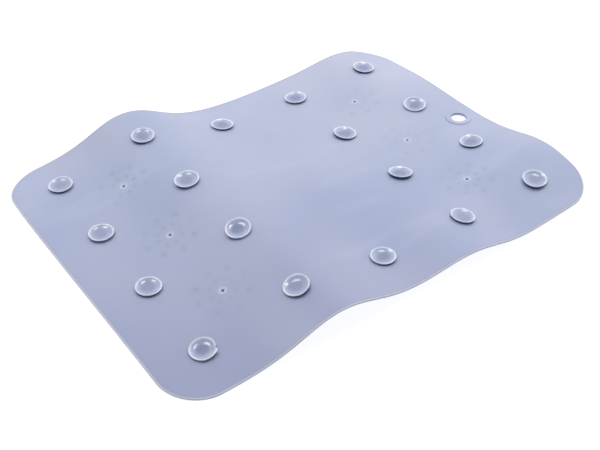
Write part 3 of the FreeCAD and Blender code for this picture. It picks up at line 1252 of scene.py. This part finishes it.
@dataclass
class Scatter:
    """Geometry Nodes that seat copies of one shape on the sheet, each along its own normal."""

    name: str
    sizes: dict[str, float]
    seed: int = 7

    def tree(self) -> bpy.types.GeometryNodeTree:
        """Builds the tree: seat, turn, size, join into one mesh and dress.

        Returns:
            The node tree, with this scatter's sizes among its inputs.
        """
        tree = bpy.data.node_groups.new(self.name, "GeometryNodeTree")
        bench = Bench(tree)
        face = tree.interface
        face.new_socket("Geometry", in_out="INPUT", socket_type="NodeSocketGeometry")
        face.new_socket("Shape", in_out="INPUT", socket_type="NodeSocketObject")
        face.new_socket("Finish", in_out="INPUT", socket_type="NodeSocketMaterial")
        face.new_socket("Seed", in_out="INPUT", socket_type="NodeSocketInt")
        for size in self.sizes:
            face.new_socket(size, in_out="INPUT", socket_type="NodeSocketFloat")
        face.new_socket("Geometry", in_out="OUTPUT", socket_type="NodeSocketGeometry")
        start = bench.make("NodeGroupInput").socket.node
        given = {socket.name: Value(bench, socket) for socket in start.outputs if socket.name}
        facing = self.kept(bench, "FLOAT_VECTOR", "facing")
        scale = self.kept(bench, "FLOAT_VECTOR", "scale")
        upright = bench.make("FunctionNodeAlignRotationToVector", 0, {"axis": "Z"}, {"Vector": facing})
        shape = bench.make("GeometryNodeObjectInfo", "Geometry", None, {"Object": given["Shape"]})
        sockets = {"Points": given["Geometry"], "Instance": shape, "Rotation": upright, "Scale": scale}
        seated = bench.make("GeometryNodeInstanceOnPoints", 0, None, sockets)
        turn = self.random(bench, given["Seed"], 0.0, given["Turn spread"])
        spin = bench.make("ShaderNodeCombineXYZ", 0, None, {2: turn})
        sockets = {"Instances": seated, "Rotation": spin}
        turned = bench.make("GeometryNodeRotateInstances", 0, None, sockets)
        size_spread = given["Size spread"]
        swell = self.random(bench, given["Seed"] + 1, 1 - size_spread, 1 + size_spread)
        sockets = {"Instances": turned, "Scale": swell}
        sized = bench.make("GeometryNodeScaleInstances", 0, None, sockets)
        joined = bench.make("GeometryNodeRealizeInstances", 0, None, {"Geometry": sized})
        slack = self.kept(bench, "FLOAT", "slack")
        place = bench.make("GeometryNodeInputPosition")
        wander = bench.noise(place, given["Wobble scale"], 0.0, "Color")
        sockets = {0: wander, 1: NOISE_MIDDLE}
        centred = bench.make("ShaderNodeVectorMath", 0, {"operation": "SUBTRACT"}, sockets)
        sockets = {0: centred, "Scale": slack * given["Wobble"]}
        push = bench.make("ShaderNodeVectorMath", 0, {"operation": "SCALE"}, sockets)
        eased = bench.make("GeometryNodeSetPosition", 0, None, {"Geometry": joined, "Offset": push})
        sockets = {"Geometry": eased, "Material": given["Finish"]}
        dressed = bench.make("GeometryNodeSetMaterial", 0, None, sockets)
        end = tree.nodes.new("NodeGroupOutput")
        tree.links.new(dressed.socket, end.inputs["Geometry"])
        return tree

    @staticmethod
    def kept(bench: Bench, kind: str, name: str) -> Value:
        """A value that the seats or the shape carry under a name."""
        settings = {"data_type": kind}
        return bench.make("GeometryNodeInputNamedAttribute", 0, settings, {"Name": name})

    @staticmethod
    def random(bench: Bench, seed: Value, low: Union[Value, Number], high: Value) -> Value:
        """A random number for each copy, between two limits."""
        sockets = {2: low, 3: high, "Seed": seed}
        return bench.make("FunctionNodeRandomValue", 1, {"data_type": "FLOAT"}, sockets)

    def spread(
        self,
        shape: bpy.types.Object,
        finish: bpy.types.Material,
        spots: np.ndarray,
        facing: np.ndarray,
        scale: np.ndarray,
    ) -> bpy.types.Mesh:
        """Seats the shape at every spot and returns the plain mesh of all copies.

        Args:
            shape: The shape that is repeated.
            finish: The material of every copy.
            spots: The seats, one row each.
            facing: The way each copy points.
            scale: The size of each copy, each way.

        Returns:
            The mesh of all copies.
        """
        seats = bpy.data.meshes.new(self.name + "_seats")
        seats.from_pydata(spots.tolist(), [], [])
        for name, rows in (("facing", facing), ("scale", scale)):
            kept = seats.attributes.new(name, "FLOAT_VECTOR", "POINT")
            kept.data.foreach_set("vector", rows.astype(np.float32).ravel())
        number = seats.attributes.new("copy", "INT", "POINT")
        number.data.foreach_set("value", np.arange(len(spots), dtype=np.int32))
        holder = bpy.data.objects.new(self.name + "_seats", seats)
        bpy.context.scene.collection.objects.link(holder)
        modifier = holder.modifiers.new(self.name, "NODES")
        modifier.node_group = self.tree()
        values = {"Shape": shape, "Finish": finish, "Seed": self.seed, **self.sizes}
        for socket in modifier.node_group.interface.items_tree:
            if socket.in_out == "INPUT" and socket.name in values:
                modifier[socket.identifier] = values[socket.name]
        bpy.context.view_layer.update()
        evaluated = holder.evaluated_get(bpy.context.evaluated_depsgraph_get())
        mesh = bpy.data.meshes.new_from_object(evaluated)
        holder.modifiers.clear()
        bpy.data.objects.remove(holder)
        bpy.data.objects.remove(shape)
        return mesh


@dataclass(frozen=True)
class Dent:
    """A place where one cup's lip is pushed in, out, up or down."""

    cup: int
    turn: float
    width: float
    outward: float
    upward: float = 0.0


@dataclass(frozen=True)
class Lean:
    """How far one cup leans over, in degrees along and across the sheet."""

    cup: int
    along: float
    across: float


@dataclass
class SuctionCups:
    """The cups on the upper face: a short neck, a thin bell and a shallow bowl."""

    plan: FlatPlan
    waves: Waves
    sizes: CupSizes = CupSizes()
    segments: int = 72
    size_spread: float = 0.012
    wobble: float = 0.0009
    wobble_scale: float = 55.0
    dent_reach: float = 0.0045
    dent_foot: float = 0.0004
    dents: tuple[Dent, ...] = (
        Dent(0, -29, 8, -0.0013, 0.0003),
        Dent(0, -8, 16, -0.0006),
        Dent(0, -46, 12, 0.0006, 0.0001),
        Dent(0, 112, 9, -0.0004),
        Dent(3, 165, 24, 0.0004),
        Dent(6, 60, 26, 0.0004),
    )
    leans: tuple[Lean, ...] = (
        Lean(0, -6, 0),
        Lean(4, -6, 3),
        Lean(5, -1, -5),
        Lean(11, 4, 5),
        Lean(12, 6, -1),
        Lean(14, 5, 3),
        Lean(16, -4, -3),
    )

    def profile(self) -> Profile:
        """Section of a cup from its root round the lip to the middle of its bowl.

        Returns:
            The section's points.
        """
        sizes = self.sizes
        soft = sizes.edge_round
        neck = [(sizes.neck_radius * 0.5, -sizes.root), (sizes.neck_radius, -sizes.root)]
        foot = (sizes.neck_radius, sizes.foot / 2)
        waist = (sizes.neck_radius + sizes.waist, sizes.foot + sizes.waist)
        under = (sizes.radius - sizes.bell_reach, sizes.edge_low - sizes.bell_drop)
        end = (sizes.radius - soft, sizes.edge_low)
        bell = sweep_curve([foot, waist, under, end], sizes.bell_steps)
        edge = [
            (sizes.radius - soft / 3, sizes.edge_low + soft / 3),
            (sizes.radius, sizes.edge_low + soft),
            (sizes.radius, sizes.edge_high),
        ]
        crest = [
            edge[-1],
            (sizes.radius - soft / 2, sizes.height),
            (sizes.brim_radius + soft * 2, sizes.height + soft / 2),
            (sizes.brim_radius, sizes.height - soft),
        ]
        lip = edge + sweep_curve(crest, sizes.crest_steps)[1:]
        return neck + bell + lip + self.bowl()

    def bowl(self) -> Profile:
        """Section of a cup's bowl, flat in the middle and steeper towards the brim.

        Returns:
            The section's points from below the brim inwards.
        """
        sizes = self.sizes
        depth = sizes.height - sizes.edge_round - sizes.floor
        bowl = []
        for step in range(1, sizes.bowl_steps + 1):
            share = 1 - step / sizes.bowl_steps
            spot = sizes.floor_radius + (sizes.brim_radius - sizes.floor_radius) * share
            bowl.append((spot, sizes.floor + depth * share**sizes.bowl_power))
        bowl.append((sizes.floor_radius * 0.5, sizes.floor - sizes.floor_dip))
        return bowl

    def build(self) -> bpy.types.Object:
        """Builds all cups as one mesh.

        Returns:
            The cups.
        """
        shape = lathe("cup_shape", self.profile(), self.segments)
        local = np.zeros(len(shape.data.vertices) * 3, np.float32)
        shape.data.vertices.foreach_get("co", local)
        heights = local.reshape(-1, 3)[:, 2]
        share = np.clip(heights / self.sizes.height, 0, 1).astype(np.float32)
        slack = shape.data.attributes.new("slack", "FLOAT", "POINT")
        slack.data.foreach_set("value", share)
        places = np.array(self.plan.cup_places())
        spots, normals = self.waves.lie(places[:, 0], places[:, 1])
        for lean in self.leans:
            normals[lean.cup, :2] += np.sin(np.radians([lean.along, lean.across]))
            normals[lean.cup] /= np.linalg.norm(normals[lean.cup])
        sizes = {
            "Turn spread": TURN,
            "Size spread": self.size_spread,
            "Wobble": self.wobble,
            "Wobble scale": self.wobble_scale,
        }
        scatter = Scatter("cup_scatter", sizes)
        finish = CupVinyl(sizes=self.sizes).material()
        mesh = scatter.spread(shape, finish, spots, normals, np.ones_like(spots))
        self.dent(mesh, spots, normals)
        return finished("suction_cups", mesh)

    def dent(self, mesh: bpy.types.Mesh, spots: np.ndarray, normals: np.ndarray) -> None:
        """Knocks single lips out of round.

        Args:
            mesh: The mesh of all cups.
            spots: The seats of the cups.
            normals: The way each cup points.
        """
        places = np.zeros(len(mesh.vertices) * 3, np.float32)
        mesh.vertices.foreach_get("co", places)
        places = places.reshape(-1, 3).astype(float)
        copy = np.zeros(len(mesh.vertices), np.int32)
        mesh.attributes["copy"].data.foreach_get("value", copy)
        for dent in self.dents:
            own = np.where(copy == dent.cup)[0]
            upright = Vector((0, 0, 1)).rotation_difference(Vector(normals[dent.cup]))
            axes = np.array(upright.to_matrix())
            local = (places[own] - spots[dent.cup]) @ axes
            turn = np.degrees(np.arctan2(local[:, 1], local[:, 0]))
            off = (turn - dent.turn + 180) % 360 - 180
            reach = np.linalg.norm(local[:, :2], axis=1)
            lip = (reach - self.dent_reach) / (self.sizes.radius - self.dent_reach)
            share = np.exp(-((off / dent.width) ** 2)) * np.clip(lip, 0, 1) ** 2
            share *= local[:, 2] > self.dent_foot
            ways = local[:, :2] / np.maximum(reach, TINY)[:, None]
            local[:, :2] += ways * (share * dent.outward)[:, None]
            local[:, 2] += share * dent.upward
            places[own] = local @ axes.T + spots[dent.cup]
        mesh.vertices.foreach_set("co", places.astype(np.float32).ravel())


@dataclass
class MassageNubs:
    """The nubs on the lower face, eight in each ring of a flower."""

    plan: FlatPlan
    waves: Waves
    height: float = 0.0018
    crown: tuple[Spot, ...] = ((1.0, 0.62), (0.85, 0.9), (0.5, 1.0))
    segments: int = 12
    size_spread: float = 0.01
    wobble_scale: float = 50.0

    def build(self) -> bpy.types.Object:
        """Builds all nubs as one mesh from a shape of radius and height 1.

        Returns:
            The nubs.
        """
        root = self.plan.thickness / 2 / self.height
        shape = lathe("nub_shape", [(1.0, -root), *self.crown], self.segments)
        slack = shape.data.attributes.new("slack", "FLOAT", "POINT")
        slack.data.foreach_set("value", np.zeros(len(shape.data.vertices), np.float32))
        nubs = np.array(self.plan.nub_places())
        spots, normals = self.waves.lie(nubs[:, 0], nubs[:, 1])
        scale = np.stack([nubs[:, 2], nubs[:, 2], np.full(len(nubs), self.height)], axis=1)
        sizes = {
            "Turn spread": TURN,
            "Size spread": self.size_spread,
            "Wobble": 0.0,
            "Wobble scale": self.wobble_scale,
        }
        seats = spots - normals * self.plan.thickness
        finish = NubVinyl().material()
        mesh = Scatter("nub_scatter", sizes).spread(shape, finish, seats, -normals, scale)
        return finished("massage_nubs", mesh)


@dataclass
class Mat:
    """The whole mat: the sheet, its cups and its nubs, brought to their place in the frame."""

    plan: FlatPlan = FlatPlan()
    waves: Waves = Waves()
    pieces: list[bpy.types.Object] = field(default_factory=list)

    def build(self) -> None:
        """Builds the pieces, seats them in the frame and ties them to it."""
        sheet = Sheet(self.plan, self.waves)
        self.pieces.append(sheet.build())
        sheet.dress(self.pieces[0])
        self.pieces.append(SuctionCups(self.plan, self.waves).build())
        self.pieces.append(MassageNubs(self.plan, self.waves).build())
        self.seat()
        for piece in self.pieces:
            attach(piece, BODY)
            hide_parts(MAT_NODE)
            LOG.info("%s: %d faces", piece.name, len(piece.data.polygons))

    def seat(self) -> None:
        """Moves the mat to the frame's box: centred in plan and resting on the same level."""
        spots = []
        for piece in self.pieces:
            rows = np.zeros(len(piece.data.vertices) * 3, np.float32)
            piece.data.vertices.foreach_get("co", rows)
            spots.append(rows.reshape(-1, 3))
        spots = np.concatenate(spots)
        low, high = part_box(MAT_NODE)
        own_low, own_high = Vector(spots.min(0)), Vector(spots.max(0))
        shift = (low + high - own_low - own_high) / 2
        shift.z = low.z - own_low.z
        for piece in self.pieces:
            piece.data.transform(Matrix.Translation(shift))
            piece.data.update()


@dataclass(frozen=True)
class Lamp:
    """A square soft lamp that points at the mat: its place, width and power."""

    name: str
    place: Triple
    width: float
    power: float

    def hang(self) -> None:
        """Hangs the lamp in its place."""
        data = bpy.data.lights.new(self.name, "AREA")
        data.shape = "SQUARE"
        data.size = self.width
        data.energy = self.power
        lamp = bpy.data.objects.new(self.name, data)
        lamp.location = self.place
        lamp.rotation_mode = "QUATERNION"
        lamp.rotation_quaternion = (-Vector(self.place)).to_track_quat("-Z", "Y")
        bpy.context.scene.collection.objects.link(lamp)


@dataclass(frozen=True)
class Studio:
    """A white floor under soft light, and the camera at the photograph's angle."""

    azimuth: float = 35.55
    elevation: float = 38.89
    eye: Triple = (-0.3788, -0.5342, 0.4940)
    lens: float = 59.886
    floor_size: float = 8.0
    floor_colour: Colour = (0.40, 0.40, 0.40)
    floor_lift: float = 0.85
    floor_glow: float = 0.35
    sky_colour: Colour = (1.0, 1.0, 1.0)
    sky_strength: float = 0.25
    lamps: tuple[Lamp, ...] = (
        Lamp("left_lamp", (-0.86, 1.20, 3.00), 1.0, 27.0),
        Lamp("right_lamp", (0.94, 0.28, 3.00), 1.0, 27.0),
        Lamp("low_right_lamp", (0.84, 0.06, 0.52), 0.9, 3.6),
        Lamp("far_left_lamp", (-0.24, 0.74, 0.58), 0.9, 1.9),
        Lamp("far_lamp", (0.40, 0.94, 0.70), 1.2, 2.6),
        Lamp("front_lamp", (-0.60, -1.60, 1.00), 1.4, 5.0),
    )

    def camera(self) -> None:
        """Sets up the camera."""
        data = bpy.data.cameras.new("photo_view")
        data.lens = self.lens
        camera = bpy.data.objects.new("photo_view", data)
        turn = math.radians(self.azimuth)
        tilt = math.radians(self.elevation)
        level = math.cos(tilt)
        way = Vector((math.sin(turn) * level, math.cos(turn) * level, -math.sin(tilt)))
        camera.location = self.eye
        camera.rotation_mode = "QUATERNION"
        camera.rotation_quaternion = way.to_track_quat("-Z", "Y")
        bpy.context.scene.collection.objects.link(camera)
        bpy.context.scene.camera = camera

    @staticmethod
    def seen(bench: Bench) -> Value:
        """Tells the rays that carry the backdrop itself: to the camera, by gloss or through glass.

        Args:
            bench: The bench of the node tree.

        Returns:
            1 on those rays and 0 on others.
        """
        rays = bench.make("ShaderNodeLightPath").socket.node.outputs
        camera = Value(bench, rays["Is Camera Ray"])
        gloss = Value(bench, rays["Is Glossy Ray"])
        through = Value(bench, rays["Is Transmission Ray"])
        return camera.maths("MAXIMUM", gloss).maths("MAXIMUM", through)

    def floor(self) -> None:
        """Lays the white floor, which keeps the mat's shadow."""
        half = self.floor_size / 2
        mesh = bpy.data.meshes.new("studio_floor")
        corners = [(-half, -half, 0), (half, -half, 0), (half, half, 0), (-half, half, 0)]
        mesh.from_pydata(corners, [], [(0, 1, 2, 3)])
        floor = bpy.data.objects.new("studio_floor", mesh)
        bpy.context.scene.collection.objects.link(floor)
        material, bench, output = new_material("white_floor")
        matt = bench.make("ShaderNodeBsdfDiffuse", 0, None, {"Color": self.floor_colour})
        seen = self.seen(bench)
        strength = seen * self.floor_lift + (1 - seen) * self.floor_glow
        lift = bench.make("ShaderNodeEmission", 0, None, {"Strength": strength})
        both = bench.make("ShaderNodeAddShader", 0, None, {0: matt, 1: lift})
        bench.tree.links.new(both.socket, output.inputs["Surface"])
        mesh.materials.append(material)

    def light(self) -> None:
        """Lights the mat with a pale sky, two high lamps for the bowls and softer ones all round."""
        world = bpy.data.worlds.new("pale_sky")
        world.use_nodes = True
        world.node_tree.nodes.clear()
        bench = Bench(world.node_tree)
        seen = self.seen(bench)
        strength = seen + (1 - seen) * self.sky_strength
        sockets = {"Color": self.sky_colour, "Strength": strength}
        sky = bench.make("ShaderNodeBackground", 0, None, sockets)
        output = world.node_tree.nodes.new("ShaderNodeOutputWorld")
        world.node_tree.links.new(sky.socket, output.inputs["Surface"])
        bpy.context.scene.world = world
        for lamp in self.lamps:
            lamp.hang()

    def build(self) -> None:
        """Sets up the floor, the light and the camera."""
        self.floor()
        self.light()
        self.camera()
        bpy.context.scene.view_settings.view_transform = "Standard"


def write_sizes() -> None:
    """Brings the view layer up to date."""
    bpy.context.view_layer.update()


def main() -> None:
    """Builds the mat and the studio round it."""
    logging.basicConfig(level=logging.INFO)
    Mat().build()
    Studio().build()
    write_sizes()


if __name__ == "__main__":
    main()
